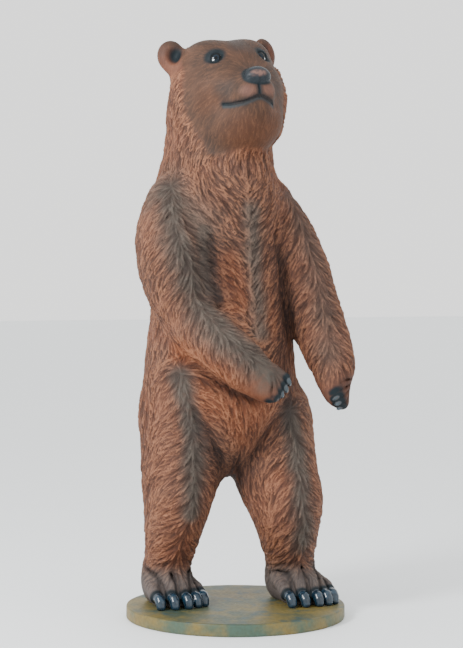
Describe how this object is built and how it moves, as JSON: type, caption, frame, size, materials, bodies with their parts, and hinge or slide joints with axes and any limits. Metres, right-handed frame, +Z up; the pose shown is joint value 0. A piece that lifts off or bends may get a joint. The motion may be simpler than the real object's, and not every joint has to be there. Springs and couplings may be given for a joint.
{
  "type": "standing bear statue",
  "caption": "Life-size upright brown bear figure with carved fur, head turned, one forearm across the belly, on a thin round base.",
  "frame": {"origin": "centre of the round base's underside, where it stands on the floor", "axes": "+Z up, the bear's chest and feet face -Y, its own left side is +X"},
  "size_m": [0.7758, 0.76, 2.0213],
  "materials": {
    "painted_fur": "satin painted cast resin, brown fur with dark slate claws, nose and eyes",
    "painted_base": "mottled ochre and blue-green paint"
  },
  "bodies": {
    "root": {"base": "painted_base", "bear": "painted_fur"}
  },
  "joints": []
}
